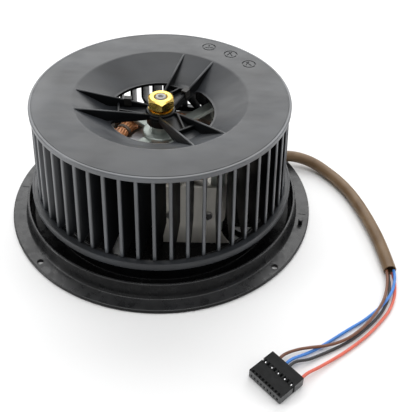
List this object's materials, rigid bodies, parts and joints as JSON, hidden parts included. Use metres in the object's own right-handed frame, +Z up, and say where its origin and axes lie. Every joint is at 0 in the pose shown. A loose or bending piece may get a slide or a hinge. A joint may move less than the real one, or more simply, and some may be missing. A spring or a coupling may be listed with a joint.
{
  "type": "blower motor wheel",
  "caption": "Cooker-hood blower: dished plastic fan wheel with a bladed rim on an open-frame motor, standing in a round flanged base with a sleeved lead and crimp connector.",
  "frame": {"origin": "on the wheel's axis, at the underside of the base flange", "axes": "+Z up along the shaft towards the hub nut, -Y towards the side that the lead's connector lies on"},
  "size_m": [0.2711, 0.2835, 0.093],
  "materials": {
    "wheel_plastic": "satin moulded black plastic, faint flow streaks",
    "base_plastic": "glass-filled black plastic, glossy ridges",
    "lamination_steel": "stacked steel laminations",
    "zinc_casting": "dull die-cast zinc",
    "galvanised_sheet": "zinc-plated sheet steel",
    "copper_winding": "varnished copper wire",
    "bright_steel": "plated steel",
    "spring_steel": "dark spring steel",
    "brass": "turned brass",
    "sintered_bronze": "sintered bronze",
    "cast_aluminium": "cast aluminium",
    "nylon": "natural nylon",
    "rubber": "black rubber",
    "connector_plastic": "black nylon connector housing",
    "tinned_contact": "tin-plated contact",
    "sleeve_pvc": "tan-brown PVC sleeving",
    "wire_brown_pvc": "brown PVC",
    "wire_blue_pvc": "blue PVC",
    "wire_black_pvc": "black PVC",
    "wire_red_pvc": "red PVC"
  },
  "bodies": {
    "base": {"base_flange": "base_plastic", "stator_core": "lamination_steel", "coil_right": "copper_winding", "coil_rear": "copper_winding", "coil_left": "copper_winding", "coil_front": "copper_winding", "bearing_bracket_upper": "zinc_casting", "bearing_bracket_lower": "zinc_casting", "bearing_upper": "sintered_bronze", "bearing_lower": "sintered_bronze", "through_bolt_1": "bright_steel", "bolt_nut_1": "bright_steel", "through_bolt_2": "bright_steel", "bolt_nut_2": "bright_steel", "through_bolt_3": "bright_steel", "bolt_nut_3": "bright_steel", "through_bolt_4": "bright_steel", "bolt_nut_4": "bright_steel", "bracket_leg_front": "galvanised_sheet", "foot_screw_front_1": "bright_steel", "side_screw_front_1": "bright_steel", "foot_screw_front_2": "bright_steel", "side_screw_front_2": "bright_steel", "bracket_leg_rear": "galvanised_sheet", "foot_screw_rear_1": "bright_steel", "side_screw_rear_1": "bright_steel", "foot_screw_rear_2": "bright_steel", "side_screw_rear_2": "bright_steel", "terminal_block": "nylon", "lead_grommet": "rubber", "lead_sleeve": "sleeve_pvc", "wire_brown": "wire_brown_pvc", "wire_blue": "wire_blue_pvc", "wire_black": "wire_black_pvc", "wire_red": "wire_red_pvc", "connector_housing": "connector_plastic", "contact_1": "tinned_contact", "contact_2": "tinned_contact", "contact_3": "tinned_contact", "contact_4": "tinned_contact", "contact_5": "tinned_contact"},
    "rotor": {"wheel_backplate": "wheel_plastic", "blade_sector_1": "wheel_plastic", "blade_sector_2": "wheel_plastic", "blade_sector_3": "wheel_plastic", "blade_sector_4": "wheel_plastic", "blade_sector_5": "wheel_plastic", "motor_shaft": "bright_steel", "hub_nut": "brass", "hub_washer": "brass", "balance_clip_1": "spring_steel", "balance_clip_2": "spring_steel", "rotor_core": "lamination_steel", "rotor_end_ring_upper": "cast_aluminium", "rotor_end_ring_lower": "cast_aluminium", "thrust_washer_upper": "nylon", "thrust_washer_lower": "nylon"}
  },
  "joints": [
    {"name": "wheel_spin", "type": "hinge", "parent": "base", "child": "rotor", "pos_m": [0, 0, 0.05], "axis": [0, 0, 1], "continuous": true}
  ]
}
